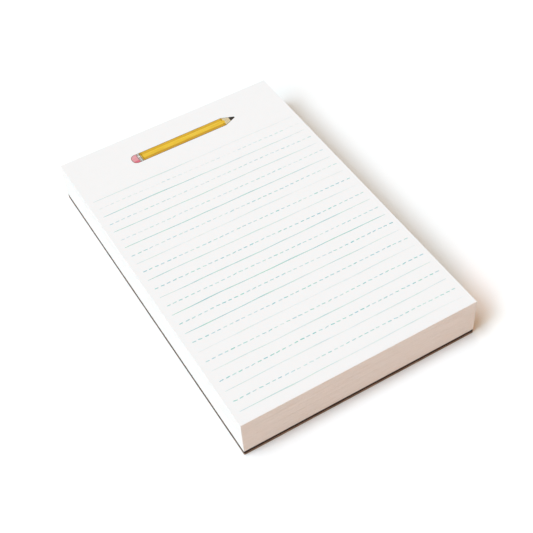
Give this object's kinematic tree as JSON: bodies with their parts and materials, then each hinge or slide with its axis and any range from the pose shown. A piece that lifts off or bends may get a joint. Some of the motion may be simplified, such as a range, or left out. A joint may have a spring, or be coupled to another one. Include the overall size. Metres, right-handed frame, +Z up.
{
  "type": "ruled note pad",
  "caption": "Thick glue-bound pad of white sheets on a stiff board, printed with solid and dashed writing lines under a small pencil picture.",
  "frame": {"origin": "on the surface it lies on, under the middle of its footprint, glue film included", "axes": "+Z up out of the top sheet, +Y towards the glued head edge, +X to the reader's right"},
  "size_m": [0.1396, 0.2162, 0.0258],
  "materials": {
    "chipboard": "matte, dark grey-brown, pressed fibre",
    "paper": "matte, white, uncoated",
    "padding_compound": "satin, white, brushed on",
    "ink_teal_line": "matte print",
    "ink_teal_dash": "matte print",
    "ink_pink": "matte print",
    "ink_pink_shade": "matte print",
    "ink_silver": "matte print",
    "ink_grey": "matte print",
    "ink_ochre": "matte print",
    "ink_yellow": "matte print",
    "ink_deep_ochre": "matte print",
    "ink_tan": "matte print",
    "ink_black": "matte print",
    "ink_olive": "matte print"
  },
  "bodies": {
    "root": {"backing_board": "chipboard", "sheet_block": "paper", "padding_glue": "padding_compound", "printed_ruled_lines": "ink_teal_line", "printed_dashed_lines": "ink_teal_dash", "printed_pencil_rubber": "ink_pink", "printed_pencil_rubber_shade": "ink_pink_shade", "printed_pencil_ferrule": "ink_silver", "printed_pencil_ferrule_rings": "ink_grey", "printed_pencil_barrel_upper": "ink_ochre", "printed_pencil_barrel_middle": "ink_yellow", "printed_pencil_barrel_lower": "ink_deep_ochre", "printed_pencil_wood": "ink_tan", "printed_pencil_lead": "ink_black", "printed_pencil_outline": "ink_olive"}
  },
  "joints": []
}
